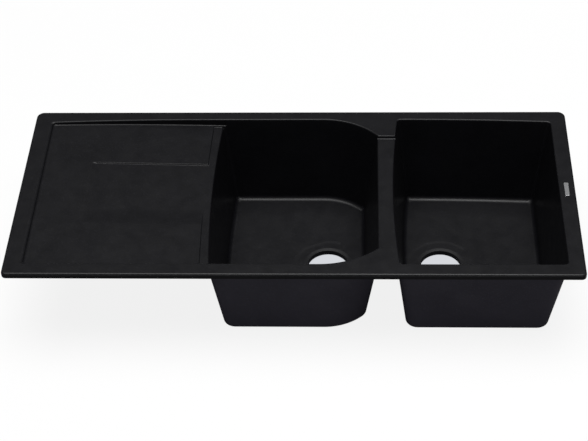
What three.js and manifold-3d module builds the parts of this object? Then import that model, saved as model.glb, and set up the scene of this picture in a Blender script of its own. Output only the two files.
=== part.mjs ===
// Double bowl kitchen sink with a drainer: an inset sink moulded in one piece from stone composite, with the plate
// on its rim, the seal under its rim and the eight clips that clamp it into a worktop.
//
// Millimetres: X to the right, Y to the back, Z up. Every piece is drawn with the deck's top at Z = 0, and the
// whole sink is then raised, so that the origin is under the centre of the rim, on the surface the bowls stand on.

import * as THREE from 'three'
import { mergeVertices } from 'three/addons/utils/BufferGeometryUtils.js'
import Module from 'manifold-3d'

const wasm = await Module()
wasm.setup()

// Driving dimensions

const height = 220 // from the foot of the bowls to the top of the deck
const wallThickness = 6.5
const draft = 0.125 // how far a side wall leans for each millimetre of depth
const endLean = 0.025 // how much more the front and back walls lean
const edgeRound = 3 // radius of the moulding's upper edges

const rim = {
  length: 1163,
  depth: 505,
  thickness: 12.5, // at the lip that shows
  lip: 12, // width of the lip
  slab: 9, // thickness of the deck inside the lip
  backCorner: 16,
  frontCorner: 10,
  topRound: 4.5,
  footRound: 0.8,
}

const recess = {
  left: -543,
  right: 548,
  front: -220.5,
  back: 225,
  straightHalf: 210, // the back edge is straight this far from the middle, and bows towards the ends
  bowRadius: 6400,
}

const drainer = {
  cornerRadius: 7,
  highDepth: 6.5, // depth of its floor at the left end
  fall: 0.0256, // how far its floor drops for each millimetre to the right
  footRadius: 3,
  endSpread: 1.9, // how much broader the step down at its left end is than along its sides
  borderLeft: -192, // the lower strip along the bowl starts here
  borderBow: 4.5,
  borderDepth: 18.5,
  borderInset: 3.7,
  panel: { left: -437, right: -189, front: -71.5, back: 94, highDepth: 11, cornerRadius: 5 },
  undersideFall: 0.0326,
  undersideHigh: 15,
}

const leftBowl = {
  left: -178.5,
  bow: 9,
  right: 173,
  rightLean: 0.015, // how much more the wall along the divider leans
  noseStart: 52,
  backNose: 161,
  frontNose: 184, // at the deck
  frontNoseFoot: 155, // it tightens to this at the floor
}
const rightBowl = { left: 203.5, bow: 11.5 }
const bowl = {
  depth: 207,
  cornerRadius: 9,
  noseCorner: 4, // where the round noses of the left bowl meet the divider
  footRadius: 12,
  outerFootRadius: 11,
  outerCornerRadius: 23,
  outerNoseCorner: 24,
  rootRadius: 4, // under the deck, where a wall starts
  bowReference: 220, // a bowed side has moved by its bow at this distance from the middle
}
const divider = { front: -173, back: 169, depth: 6.5 }

const waste = {
  places: { left: [65.2, -15], right: [309, -15] },
  holeRadius: 45,
  mouthRadius: 49, // of the bevel round the hole
  mouthDepth: 209.8,
  dishRadius: 66, // the level floor that the waste's flange lies on
  dishDepth: 208,
}

const ribs = { places: [-500, -440, -380, -320, -260], width: 6, height: 8, halfLength: 190 }
const tapHoles = { places: [[184, 211], [184, -206]], radius: 17.5, skin: 5 }

const plate = { place: [563.5, -1], width: 11.4, length: 44.4, thickness: 1, stand: 0.5, cornerRadius: 1.5 }
const gap = 0.3 // between pieces that touch

const seal = { outerInset: 3, width: 5, grooveDepth: 1.8, stand: 1 }

const clip = {
  lugRadius: 6.8,
  lugFoot: -22,
  holeRadius: 4.3,
  holeTop: -10,
  plugRadius: 4,
  flangeRadius: 5.6,
  flange: 1,
  bore: 2.3,
  screwRadius: 2,
  screwTop: -12,
  headRadius: 4.2,
  headHeight: 2.4,
  armThickness: 2,
  armWidth: 10,
  armBase: 12, // from the screw to the arm's bend
  armDrop: 18,
  armReach: 32,
  toothHeight: 3,
}

// Where each clip's screw stands, and the way its parked arm points (degrees from +X)
const clipPlaces = [
  { x: -500, y: 232, parked: -90 },
  { x: -320, y: 232, parked: -90 },
  { x: 165, y: 232, parked: -90 },
  { x: 562, y: 110, parked: -90 },
  { x: 562, y: -110, parked: 90 },
  { x: 165, y: -232, parked: 90 },
  { x: -320, y: -232, parked: 90 },
  { x: -500, y: -232, parked: 90 },
]

// Solids: a closed geometry becomes a solid, solids are joined and cut, and the result becomes a geometry again

function toSolid(geometry) {
  const bare = geometry.clone()
  bare.deleteAttribute('normal')
  bare.deleteAttribute('uv')
  const merged = mergeVertices(bare, 1e-4)
  const corners = [...merged.index.array]
  const at = i => new THREE.Vector3().fromBufferAttribute(merged.attributes.position, corners[i])
  let volume = 0
  for (let i = 0; i < corners.length; i += 3) volume += at(i).dot(at(i + 1).cross(at(i + 2)))
  if (volume < 0) corners.reverse() // its faces pointed in
  const vertProperties = new Float32Array(merged.attributes.position.array)
  return new wasm.Manifold(new wasm.Mesh({ numProp: 3, vertProperties, triVerts: new Uint32Array(corners) }))
}

function toGeometry(solid) {
  const { vertProperties, triVerts, numProp } = solid.getMesh()
  const geometry = new THREE.BufferGeometry()
  const positions = new Float32Array((vertProperties.length / numProp) * 3)
  for (let i = 0; i < positions.length / 3; i++) {
    for (let k = 0; k < 3; k++) positions[3 * i + k] = vertProperties[numProp * i + k]
  }
  geometry.setAttribute('position', new THREE.BufferAttribute(positions, 3))
  geometry.setIndex([...triVerts])
  geometry.computeVertexNormals()
  return geometry
}

const joined = solids => solids.reduce((sum, solid) => sum.add(solid))
const point = (x, y) => new THREE.Vector2(x, y)
const steps = count => Array.from({ length: count + 1 }, (_, i) => i / count)

// A closed skin over rings of equal point counts. `well` is a last ring, of any count, lying inside the lowest one.
function skin(rings, { well = [], flatten = p => point(p.x, p.y) } = {}) {
  const count = rings[0].length
  const last = (rings.length - 1) * count
  const vertices = [...rings.flat(), ...well]
  const faces = []
  for (let r = 0; r + 1 < rings.length; r++) {
    for (let i = 0; i < count; i++) {
      const a = r * count + i
      const b = r * count + ((i + 1) % count)
      faces.push([a, a + count, b], [b, a + count, b + count])
    }
  }
  const triangles = (outline, hole = []) => THREE.ShapeUtils.triangulateShape(outline, hole.length ? [hole] : [])
  const firstFlat = rings[0].map(flatten)
  const lastFlat = rings.at(-1).map(flatten)
  const wellFlat = well.map(flatten)
  for (const [a, b, c] of triangles(firstFlat)) faces.push([a, b, c])
  for (const [a, b, c] of triangles(lastFlat, wellFlat)) faces.push([c + last, b + last, a + last])
  if (well.length) {
    const first = last + count
    for (const [a, b, c] of triangles(wellFlat)) faces.push([c + first, b + first, a + first])
  }
  const geometry = new THREE.BufferGeometry().setFromPoints(vertices)
  geometry.setIndex(faces.flat())
  return toSolid(geometry)
}

// A solid of revolution about the Z axis, from a profile of [radius, z] that starts and ends on the axis
function turned(profile, x, y, segments = 24) {
  const geometry = new THREE.LatheGeometry(profile.map(([radius, z]) => point(radius, z)), segments)
  geometry.rotateX(Math.PI / 2)
  geometry.translate(x, y, 0)
  return toSolid(geometry)
}

// Outlines, counter-clockwise from above

const plain = (x, y) => ({ at: point(x, y), radius: 0 })
const corner = (x, y, radius) => ({ at: point(x, y), radius })

// Turns each corner of an outline into an arc that touches its two sides
function rounded(outline, arcSteps = 4) {
  return outline.flatMap(({ at, radius }, i) => {
    if (!radius) return [at.clone()]
    const before = outline.at(i - 1).at.clone().sub(at).normalize()
    const after = outline[(i + 1) % outline.length].at.clone().sub(at).normalize()
    const half = before.angleTo(after) / 2
    const centre = before.clone().add(after).setLength(radius / Math.sin(half)).add(at)
    const start = at.clone().addScaledVector(before, radius / Math.tan(half))
    return steps(arcSteps).map(t => start.clone().rotateAround(centre, t * (Math.PI - 2 * half)))
  })
}

const backEdge = x => recess.back - Math.max(0, Math.abs(x) - recess.straightHalf) ** 2 / (2 * recess.bowRadius)
const bowedSide = (edge, bow, y) => edge + bow * (y / bowl.bowReference) ** 2

function rimOutline(inset) {
  const x = rim.length / 2 - inset
  const y = rim.depth / 2 - inset
  const back = Math.max(1, rim.backCorner - inset)
  const front = Math.max(1, rim.frontCorner - inset)
  return rounded([corner(-x, -y, front), corner(x, -y, front), corner(x, y, back), corner(-x, y, back)])
}

// The points of a bowed side between its ends, from `fromY` to `toY`
function sidePoints(edge, bow, fromY, toY) {
  const inner = steps(6).slice(1, -1).map(t => THREE.MathUtils.lerp(fromY, toY, t))
  return inner.map(y => plain(bowedSide(edge, bow, y), y))
}

// An opening's outline at a depth below the deck, drawn in by `inset` at its sides. The ends lean more.
const endInset = (inset, depth) => inset + endLean * depth

// The left bowl: bowed on the left, and drawn in to the divider by a round nose at the back and at the front
function leftBowlOutline(inset, depth, radius, noseCorner = bowl.noseCorner) {
  const atEnds = endInset(inset, depth)
  const right = leftBowl.right - inset - leftBowl.rightLean * depth
  const back = recess.back - atEnds
  const front = recess.front + atEnds
  const left = y => bowedSide(leftBowl.left + inset, leftBowl.bow, y)
  const nose = (edgeY, noseRadius, side) => {
    const r = noseRadius - atEnds
    const centre = point(leftBowl.noseStart, edgeY - side * r)
    const end = Math.acos((right - centre.x) / r)
    const arc = steps(8).map(t => {
      const angle = THREE.MathUtils.lerp(end, Math.PI / 2, t)
      return plain(centre.x + r * Math.cos(angle), centre.y + side * r * Math.sin(angle))
    })
    arc[0].radius = noseCorner
    return arc
  }
  const frontNose = THREE.MathUtils.lerp(leftBowl.frontNose, leftBowl.frontNoseFoot, depth / bowl.depth)
  return rounded([
    corner(left(front), front, radius),
    ...nose(front, frontNose, -1).reverse(),
    ...nose(back, leftBowl.backNose, 1),
    corner(left(back), back, radius),
    ...sidePoints(leftBowl.left + inset, leftBowl.bow, back, front),
  ])
}

// The right bowl: straight at the front and right, following the bowed back edge, and bowed on the left
function rightBowlOutline(inset, depth, radius) {
  const right = recess.right - inset
  const front = recess.front + endInset(inset, depth)
  const back = x => backEdge(x) - endInset(inset, depth)
  const left = y => bowedSide(rightBowl.left + inset, rightBowl.bow, y)
  const backLeft = left(back(recess.straightHalf))
  const backX = steps(5).slice(1, -1).map(t => THREE.MathUtils.lerp(right, backLeft, t))
  return rounded([
    corner(left(front), front, radius),
    corner(right, front, radius),
    corner(right, back(right), radius),
    ...backX.map(x => plain(x, back(x))),
    corner(backLeft, back(backLeft), radius),
    ...sidePoints(rightBowl.left + inset, rightBowl.bow, back(backLeft), front),
  ])
}

// The drainer's part of the recess. Its right end lies inside the left bowl's opening.
function drainerOutline(inset, spread = 1) {
  const left = recess.left + inset * spread
  const openEnd = -150
  const back = x => backEdge(x) - inset
  const backX = steps(6).slice(0, -1).map(t => THREE.MathUtils.lerp(-recess.straightHalf, left, t))
  return rounded([
    corner(left, recess.front + inset, drainer.cornerRadius),
    plain(openEnd, recess.front + inset),
    plain(openEnd, recess.back - inset),
    ...backX.map(x => plain(x, back(x))),
    corner(left, back(left), drainer.cornerRadius),
  ])
}

// Wall profiles: how far the outline is drawn in at each depth

const lean = Math.atan(draft)
const raise = (outline, z) => outline.map(p => new THREE.Vector3(p.x, p.y, typeof z === 'function' ? z(p.x) : z))

// The round upper edge of a hollow, from the level surface to its leaning wall
function edgeProfile(radius, arcSteps = 3) {
  const centre = draft * radius * (1 - Math.sin(lean)) - radius * Math.cos(lean)
  return steps(arcSteps).map(t => {
    const angle = THREE.MathUtils.lerp(Math.PI / 2, lean, t)
    return { inset: centre + radius * Math.cos(angle), drop: radius * (1 - Math.sin(angle)) }
  })
}

// The round foot of a hollow, from its leaning wall to a floor at `depth`
function footProfile(radius, depth, arcSteps = 4) {
  const centre = draft * (depth - radius * (1 - Math.sin(lean))) + radius * Math.cos(lean)
  return steps(arcSteps).map(t => {
    const angle = THREE.MathUtils.lerp(lean, Math.PI / 2, t)
    return { inset: centre - radius * Math.cos(angle), rise: radius * (1 - Math.sin(angle)) }
  })
}

const clearance = 5 // how far a cutting solid stands out of the surface it cuts

// The hollow of a bowl: round edge, leaning walls, round foot, and a floor that falls to the waste
function bowlHollow(outline, [wasteX, wasteY]) {
  const edge = edgeProfile(edgeRound)
  const foot = footProfile(bowl.footRadius, bowl.depth)
  const ring = (inset, z) => raise(outline(inset, Math.max(0, -z), bowl.cornerRadius), z)
  const circle = steps(24).slice(0, -1).map(t => {
    const angle = t * 2 * Math.PI
    return new THREE.Vector3(
      wasteX + waste.dishRadius * Math.cos(angle), wasteY + waste.dishRadius * Math.sin(angle), -waste.dishDepth)
  })
  return skin([
    ring(edge[0].inset, clearance),
    ...edge.map(({ inset, drop }) => ring(inset, -drop)),
    ...foot.map(({ inset, rise }) => ring(inset, rise - bowl.depth)),
  ], { well: circle })
}

// The outside of a bowl, from inside the deck down to its flat foot
function bowlShell(outline) {
  const foot = footProfile(bowl.outerFootRadius, height)
  const outward = wallThickness / Math.cos(lean)
  const { outerCornerRadius, outerNoseCorner } = bowl
  const ring = (inset, z) => raise(outline(inset - outward, -z, outerCornerRadius, outerNoseCorner), z)
  const root = steps(3).map(t => {
    const angle = t * Math.PI / 2
    const drop = rim.slab + bowl.rootRadius * Math.sin(angle)
    return ring(draft * drop - bowl.rootRadius * (1 - Math.sin(angle)), -drop)
  })
  return skin([
    ring(-bowl.rootRadius, -edgeRound),
    ...root,
    ...foot.map(({ inset, rise }) => ring(inset, rise - height)),
  ])
}

// The hole for the waste, with a bevelled mouth
const wasteCut = ([x, y]) => turned([
  [0, -waste.dishDepth + clearance],
  [waste.mouthRadius, -waste.dishDepth + clearance],
  [waste.mouthRadius, -waste.dishDepth],
  [waste.holeRadius, -waste.mouthDepth],
  [waste.holeRadius, -height - clearance],
  [0, -height - clearance],
], x, y, 40)

// Drainer

const drainerFloor = x => -drainer.highDepth - drainer.fall * (x - recess.left)
const drainerUnderside = x => -drainer.undersideHigh - drainer.undersideFall * (x - recess.left)

function drainerHollow() {
  const edge = edgeProfile(edgeRound)
  const foot = footProfile(drainer.footRadius, drainer.highDepth)
  const ring = (inset, z) => raise(drainerOutline(inset, drainer.endSpread), z)
  return skin([
    ring(edge[0].inset, clearance),
    ...edge.map(({ inset, drop }) => ring(inset, -drop)),
    ...foot.slice(1).map(({ inset, rise }) => ring(inset, x => drainerFloor(x) + rise)),
  ])
}

// The lower strip that runs along the bowl, where the drainer's water gathers
function borderHollow() {
  const ring = (inset, z) => {
    const back = recess.back - drainer.borderInset - inset
    const front = recess.front + drainer.borderInset + inset
    const left = y => bowedSide(drainer.borderLeft + inset, drainer.borderBow, y)
    const side = sidePoints(drainer.borderLeft + inset, drainer.borderBow, back, front)
    const openEnd = -150
    return raise(rounded([
      plain(left(front), front), plain(openEnd, front), plain(openEnd, back), plain(left(back), back), ...side,
    ]), z)
  }
  const foot = footProfile(2, drainer.borderDepth, 3)
  const wallInset = foot[0].inset
  return skin([ring(-1, -11), ...foot.map(({ inset, rise }) => ring(inset - wallInset, rise - drainer.borderDepth))])
}

// The shallow panel sunk in the drainer's floor, which runs out level with the border strip
function panelHollow() {
  const { left, right, front, back, highDepth, cornerRadius } = drainer.panel
  const fall = (drainer.borderDepth - highDepth) / (right - left)
  const ring = (inset, lift) => raise(rounded([
    corner(left + inset, front + inset, cornerRadius),
    plain(right, front + inset),
    plain(right, back - inset),
    corner(left + inset, back - inset, cornerRadius),
  ]), x => -highDepth - fall * (x - left) + lift)
  return skin([ring(-0.5, 6), ring(0, 1.2), ring(0.4, 0.4), ring(1.2, 0)])
}

function drainerShell() {
  const foot = footProfile(drainer.footRadius + wallThickness, drainer.undersideHigh)
  return skin([
    raise(drainerOutline(-wallThickness), -edgeRound),
    ...foot.map(({ inset, rise }) =>
      raise(drainerOutline(inset - wallThickness), x => Math.min(-edgeRound - 1, drainerUnderside(x) + rise))),
  ])
}

// A tapered rib across the underside of the drainer
function rib(x) {
  const ring = (halfWidth, halfLength, lift) => {
    const outline = [[-1, -1], [1, -1], [1, 1], [-1, 1]]
    return raise(outline.map(([u, v]) => point(x + u * halfWidth, v * halfLength)), at => drainerUnderside(at) + lift)
  }
  const half = ribs.width / 2
  return skin([
    ring(half, ribs.halfLength, 4), ring(half, ribs.halfLength, 0), ring(half - 1, ribs.halfLength - 6, -ribs.height),
  ])
}

// Divider

// The sunk top of the divider between the bowls, with a round edge and a round foot at each end
function dividerHollow() {
  const edge = edgeProfile(edgeRound)
  const foot = footProfile(edgeRound, divider.depth, 3)
  const profile = [
    { inset: edge[0].inset, z: clearance },
    ...edge.map(({ inset, drop }) => ({ inset, z: -drop })),
    ...foot.map(({ inset, rise }) => ({ inset, z: rise - divider.depth })),
  ]
  const left = leftBowl.right - 12
  const right = rightBowl.left + rightBowl.bow + 12
  return skin(profile.map(({ inset, z }) => raise([
    point(left, divider.front + inset),
    point(right, divider.front + inset),
    point(right, divider.back - inset),
    point(left, divider.back - inset),
  ], z)))
}

// What is cut away to round a bowl's edge that lies below the deck. `sideX` gives the wall's line at that level,
// and `inward` is 1 where the bowl lies to the right of it.
function loweredEdge(sideX, inward, fromY, toY, level) {
  const edge = edgeProfile(edgeRound, 4).map(({ inset, drop }) => point(inset, -drop))
  const section = [...edge, point(edgeRound, edge.at(-1).y), point(edgeRound, edgeRound), point(edge[0].x, edgeRound)]
  const rings = steps(8).map(t => {
    const y = THREE.MathUtils.lerp(fromY, toY, t)
    return section.map(p => new THREE.Vector3(sideX(y) + inward * p.x, y, p.y - level))
  })
  const flatten = p => section[rings.flat().indexOf(p) % section.length]
  return skin(rings, { flatten })
}

function loweredEdges() {
  const onDrainer = y => bowedSide(leftBowl.left + draft * drainer.borderDepth, leftBowl.bow, y)
  const onDividerLeft = () => leftBowl.right - (draft + leftBowl.rightLean) * divider.depth
  const onDividerRight = y => bowedSide(rightBowl.left + draft * divider.depth, rightBowl.bow, y)
  const borderEnd = drainer.borderInset + draft * edgeRound
  return [
    loweredEdge(onDrainer, 1, recess.front + borderEnd, recess.back - borderEnd, drainer.borderDepth),
    loweredEdge(onDividerLeft, -1, divider.front + edgeRound, divider.back - edgeRound, divider.depth),
    loweredEdge(onDividerRight, 1, divider.front + edgeRound, divider.back - edgeRound, divider.depth),
  ]
}

// Rim

// A frame that follows the rim's outline, between two insets and two heights
function rimFrame(outerInset, innerInset, top, foot) {
  const block = (inset, over) => skin([
    raise(rimOutline(inset), top + over), raise(rimOutline(inset), foot - over),
  ])
  return block(outerInset, 0).subtract(block(innerInset, 1))
}

function deck() {
  const top = steps(4).map(t => {
    const angle = t * Math.PI / 2
    const inset = rim.topRound * (1 - Math.sin(angle))
    return raise(rimOutline(inset), -rim.topRound * (1 - Math.cos(angle)))
  })
  const slab = skin([
    ...top,
    raise(rimOutline(0), rim.footRound - rim.thickness),
    raise(rimOutline(rim.footRound), -rim.thickness),
  ])
  const underside = skin([
    raise(rimOutline(rim.lip + 0.5), -rim.slab),
    raise(rimOutline(rim.lip), -rim.thickness - clearance),
  ])
  return slab.subtract(underside)
}

const lug = ({ x, y }) => turned([
  [0, -edgeRound], [clip.lugRadius + 0.4, -edgeRound], [clip.lugRadius + 0.4, -rim.slab - 1],
  [clip.lugRadius - 0.3, clip.lugFoot + 0.6], [clip.lugRadius - 0.9, clip.lugFoot], [0, clip.lugFoot],
], x, y, 20)

const lugHole = ({ x, y }) => turned([
  [0, clip.holeTop], [clip.holeRadius, clip.holeTop],
  [clip.holeRadius, clip.lugFoot - clearance], [0, clip.lugFoot - clearance],
], x, y, 16)

// A tap hole that is left closed from above: a blind hole in the underside, to be knocked through
const tapHole = ([x, y]) => turned([
  [0, -tapHoles.skin], [tapHoles.radius - 0.5, -tapHoles.skin],
  [tapHoles.radius, -rim.slab - clearance], [0, -rim.slab - clearance],
], x, y, 32)

function platePocket() {
  return skin([plateOutline(-gap, clearance), plateOutline(-gap, plate.stand - plate.thickness - gap)])
}

function plateOutline(inset, z) {
  const [x, y] = plate.place
  const halfWidth = plate.width / 2 - inset
  const halfLength = plate.length / 2 - inset
  const radius = plate.cornerRadius - inset
  return raise(rounded([
    corner(x - halfWidth, y - halfLength, radius), corner(x + halfWidth, y - halfLength, radius),
    corner(x + halfWidth, y + halfLength, radius), corner(x - halfWidth, y + halfLength, radius),
  ], 3), z)
}

// Pieces

function sinkBody() {
  const filled = joined([
    deck(),
    drainerShell(),
    bowlShell(leftBowlOutline),
    bowlShell(rightBowlOutline),
    ...ribs.places.map(rib),
    ...clipPlaces.map(lug),
  ])
  const hollows = joined([
    drainerHollow(),
    borderHollow(),
    panelHollow(),
    bowlHollow(leftBowlOutline, waste.places.left),
    bowlHollow(rightBowlOutline, waste.places.right),
    dividerHollow(),
    ...loweredEdges(),
    ...Object.values(waste.places).map(wasteCut),
    ...tapHoles.places.map(tapHole),
    ...clipPlaces.map(lugHole),
    platePocket(),
    rimFrame(seal.outerInset, seal.outerInset + seal.width, seal.grooveDepth - rim.thickness, -rim.thickness - 1),
  ])
  return filled.subtract(hollows)
}

function rimPlate() {
  const top = plate.stand
  const foot = plate.stand - plate.thickness
  return skin([plateOutline(0.3, top), plateOutline(0, top - 0.3), plateOutline(0, foot)])
}

function rimSeal() {
  const top = seal.grooveDepth - rim.thickness - gap
  const inner = seal.outerInset + seal.width - gap
  return rimFrame(seal.outerInset + gap, inner, top, -rim.thickness - seal.stand)
}

// Each piece of a clip is drawn round its own screw, at [0, 0], with the arm pointing to +X

const flangeTop = clip.lugFoot - gap
const flangeFoot = flangeTop - clip.flange
const armTop = flangeFoot - gap
const headTop = armTop - clip.armThickness - gap

// The nylon plug: a bored sleeve, split by its barbs into rings that bite in the lug's hole
function clipPlug() {
  const top = clip.holeTop - gap
  const barbs = [0, 1, 2].flatMap(i => {
    const z = top - 2 - 3 * i
    return [[clip.plugRadius, z], [clip.plugRadius - 0.6, z - 0.2]]
  })
  return turned([
    [clip.bore, top], [clip.plugRadius - 0.8, top], ...barbs, [clip.plugRadius, flangeTop + 1],
    [clip.plugRadius, flangeTop], [clip.flangeRadius, flangeTop], [clip.flangeRadius, flangeFoot],
    [clip.bore, flangeFoot], [clip.bore, top],
  ], 0, 0, 16)
}

// The screw: a shank that runs up into the plug, and a pan head with a cross recess
function clipScrew() {
  const foot = headTop - clip.headHeight
  const screw = turned([
    [0, clip.screwTop], [clip.screwRadius - 0.8, clip.screwTop], [clip.screwRadius, clip.screwTop - 1.2],
    [clip.screwRadius, headTop], [clip.headRadius, headTop], [clip.headRadius, foot + 1],
    [clip.headRadius - 1, foot], [0, foot],
  ], 0, 0, 16)
  const slot = angle => {
    const blade = new THREE.BoxGeometry(4.2, 1, 1.4)
    blade.rotateZ(angle)
    blade.translate(0, 0, foot)
    return toSolid(blade)
  }
  return screw.subtract(slot(0).add(slot(Math.PI / 2)))
}

// The arm: a steel strip, flat under the plug, stepped down past the worktop's edge, with an upturned toe
function clipArm() {
  const { armThickness: t, armBase, armDrop, armReach, toothHeight } = clip
  const toeStart = armBase + 6
  const half = clip.armWidth / 2
  const strip = new THREE.Shape([
    point(-half, 0), point(-half, -t), point(armBase - 1, -t), point(toeStart - 1, -armDrop - t),
    point(armReach, -armDrop - t), point(armReach, toothHeight - armDrop), point(armReach - t, toothHeight - armDrop),
    point(armReach - t, -armDrop), point(toeStart + 1, -armDrop), point(armBase + 1, 0),
  ])
  const bent = new THREE.ExtrudeGeometry(strip, { depth: clip.armWidth, bevelEnabled: false })
  bent.translate(0, 0, -half)
  bent.rotateX(Math.PI / 2)
  bent.translate(0, 0, armTop)
  const plan = rounded([
    corner(-half, -half, half - 0.1), corner(armReach, -half, 2), corner(armReach, half, 2),
    corner(-half, half, half - 0.1),
  ])
  const trim = skin([raise(plan, armTop + 1), raise(plan, armTop - armDrop - 2 * t)])
  const hole = turned([[0, armTop + 1], [clip.bore, armTop + 1], [clip.bore, armTop - t - 1], [0, armTop - t - 1]], 0, 0, 16)
  return toSolid(bent).intersect(trim).subtract(hole)
}

// Scene

const composite = new THREE.MeshStandardMaterial({ color: '#232325', roughness: 0.62, metalness: 0 })
const brightMetal = new THREE.MeshStandardMaterial({ color: '#b9bbbe', roughness: 0.35, metalness: 1 })
const foam = new THREE.MeshStandardMaterial({ color: '#3b3b3d', roughness: 0.95, metalness: 0 })
const nylon = new THREE.MeshStandardMaterial({ color: '#d9d6cc', roughness: 0.5, metalness: 0 })
const zincSteel = new THREE.MeshStandardMaterial({ color: '#a9adb2', roughness: 0.4, metalness: 1 })

function named(name, solid, material) {
  const mesh = new THREE.Mesh(toGeometry(solid), material)
  mesh.name = name
  return mesh
}

const sink = new THREE.Group()
sink.position.z = height
sink.add(
  named('sink_body', sinkBody(), composite),
  named('rim_plate', rimPlate(), brightMetal),
  named('rim_seal', rimSeal(), foam),
)

clipPlaces.forEach(({ x, y, parked }, i) => {
  const place = new THREE.Group()
  place.position.set(x, y, 0)
  place.rotation.z = THREE.MathUtils.degToRad(parked)
  place.add(
    named(`clip_plug_${i + 1}`, clipPlug(), nylon),
    named(`clip_screw_${i + 1}`, clipScrew(), zincSteel),
    named(`clip_arm_${i + 1}`, clipArm(), zincSteel),
  )
  sink.add(place)
})

export default sink
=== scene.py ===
import math

import bmesh
import bpy
from mathutils import Matrix, Vector


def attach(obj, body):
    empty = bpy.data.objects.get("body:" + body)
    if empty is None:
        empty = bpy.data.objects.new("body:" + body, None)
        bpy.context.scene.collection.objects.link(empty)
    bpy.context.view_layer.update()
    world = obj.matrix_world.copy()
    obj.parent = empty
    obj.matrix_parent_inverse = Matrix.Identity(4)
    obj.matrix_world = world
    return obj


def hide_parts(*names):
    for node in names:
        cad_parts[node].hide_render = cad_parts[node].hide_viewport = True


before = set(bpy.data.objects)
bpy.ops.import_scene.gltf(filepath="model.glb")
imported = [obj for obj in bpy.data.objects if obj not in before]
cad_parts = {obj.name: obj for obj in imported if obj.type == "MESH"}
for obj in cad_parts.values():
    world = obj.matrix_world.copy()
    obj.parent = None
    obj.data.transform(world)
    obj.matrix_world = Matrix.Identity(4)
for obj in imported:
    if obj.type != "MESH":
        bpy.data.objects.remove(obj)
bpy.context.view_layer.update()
scene = bpy.context.scene
scene.view_settings.view_transform = "Standard"
print("frame loaded:", len(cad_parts), "CAD nodes")


# Materials. Every texture is laid in object coordinates, which are metres, so a pattern of so many
# millimetres has a scale of 1000 divided by that size. A Mix node of colours takes its share at input 0
# and its colours at 6 and 7, and gives its result at output 2.

def hexColour(text):
    def linear(value):
        return value / 12.92 if value <= 0.04045 else ((value + 0.055) / 1.055) ** 2.4
    return (*[linear(int(text[i:i + 2], 16) / 255) for i in (1, 3, 5)], 1.0)


def perMetre(millimetres):
    return 1000 / millimetres


def addNode(tree, kind, settings=None, inputs=None):
    node = tree.nodes.new("ShaderNode" + kind)
    for name, value in (settings or {}).items():
        setattr(node, name, value)
    for socket, value in (inputs or {}).items():
        if isinstance(value, bpy.types.NodeSocket):
            tree.links.new(value, node.inputs[socket])
        else:
            node.inputs[socket].default_value = value
    return node


def newMaterial(name):
    material = bpy.data.materials.new(name)
    material.use_nodes = True
    tree = material.node_tree
    tree.nodes.clear()
    place = addNode(tree, "TexCoord").outputs["Object"]
    return material, tree, place


def finishMaterial(tree, shader):
    addNode(tree, "OutputMaterial", inputs={"Surface": shader.outputs[0]})


# Quartz sand bound in black acrylic, cast in a mould. The show side is matt and even, with faint paler
# grains and a fine grain in its sheen; the back of the casting is drier, and mottled where the resin pooled.
composite = {
    "show": {"colour": "#0d0d10", "worn": "#101013", "grain": "#1f1f24",
             "roughness": (0.34, 0.42), "relief": 0.00002},
    "back": {"colour": "#3e3c46", "worn": "#44424c", "grain": "#514f5a",
             "roughness": (0.46, 0.56), "relief": 0.00005},
    "grain": 1.6,  # mm; the sand is 0.1 to 0.5 mm, drawn coarser so that it shows
    "paleFrom": 0.86,  # a grain whose random value is above this is pale
    "paleness": 0.7,
    "mottle": 90,  # mm across the cloudy changes of tone
    "handling": 28,  # mm across the changes of sheen
    "bumps": 1.1,  # mm between the bumps that break up the highlight
    "specular": 0.3,
    "ior": 1.49,  # acrylic
}


def compositeMaterial(name, side):
    look = composite[side]
    material, tree, place = newMaterial(name)
    sand = addNode(tree, "TexVoronoi", inputs={"Vector": place, "Scale": perMetre(composite["grain"])})
    pick = addNode(tree, "SeparateColor", inputs={"Color": sand.outputs["Color"]})
    grains = addNode(tree, "MapRange", inputs={
        "Value": pick.outputs["Red"], "From Min": composite["paleFrom"], "From Max": 1.0,
        "To Min": 0.0, "To Max": composite["paleness"]})
    clouds = addNode(tree, "TexNoise", inputs={
        "Vector": place, "Scale": perMetre(composite["mottle"]), "Detail": 4.0})
    cloudy = addNode(tree, "MapRange", inputs={
        "Value": clouds.outputs["Fac"], "From Min": 0.35, "From Max": 0.65, "To Min": 0.0, "To Max": 1.0})
    resin = addNode(tree, "Mix", {"data_type": "RGBA"}, {
        0: cloudy.outputs["Result"], 6: hexColour(look["colour"]), 7: hexColour(look["worn"])})
    colour = addNode(tree, "Mix", {"data_type": "RGBA"}, {
        0: grains.outputs["Result"], 6: resin.outputs[2], 7: hexColour(look["grain"])})
    handled = addNode(tree, "TexNoise", inputs={
        "Vector": place, "Scale": perMetre(composite["handling"]), "Detail": 5.0})
    low, high = look["roughness"]
    roughness = addNode(tree, "MapRange", inputs={
        "Value": handled.outputs["Fac"], "From Min": 0.3, "From Max": 0.7, "To Min": low, "To Max": high})
    fine = addNode(tree, "TexNoise", inputs={
        "Vector": place, "Scale": perMetre(composite["bumps"]), "Detail": 2.0})
    relief = addNode(tree, "Bump", inputs={
        "Strength": 0.5, "Distance": look["relief"], "Height": fine.outputs["Fac"]})
    finishMaterial(tree, addNode(tree, "BsdfPrincipled", inputs={
        "Base Color": colour.outputs[2], "Roughness": roughness.outputs["Result"],
        "Normal": relief.outputs["Normal"],
        "IOR": composite["ior"], "Specular IOR Level": composite["specular"]}))
    return material


# Aluminium, brushed along the plate and clear anodised: a pale satin metal, finely lined in its highlight
brushed = {"colours": ("#c4c6c8", "#e4e5e6"), "line": (0.35, 9, 2), "roughness": (0.28, 0.42),
           "relief": 0.00002}


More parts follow.
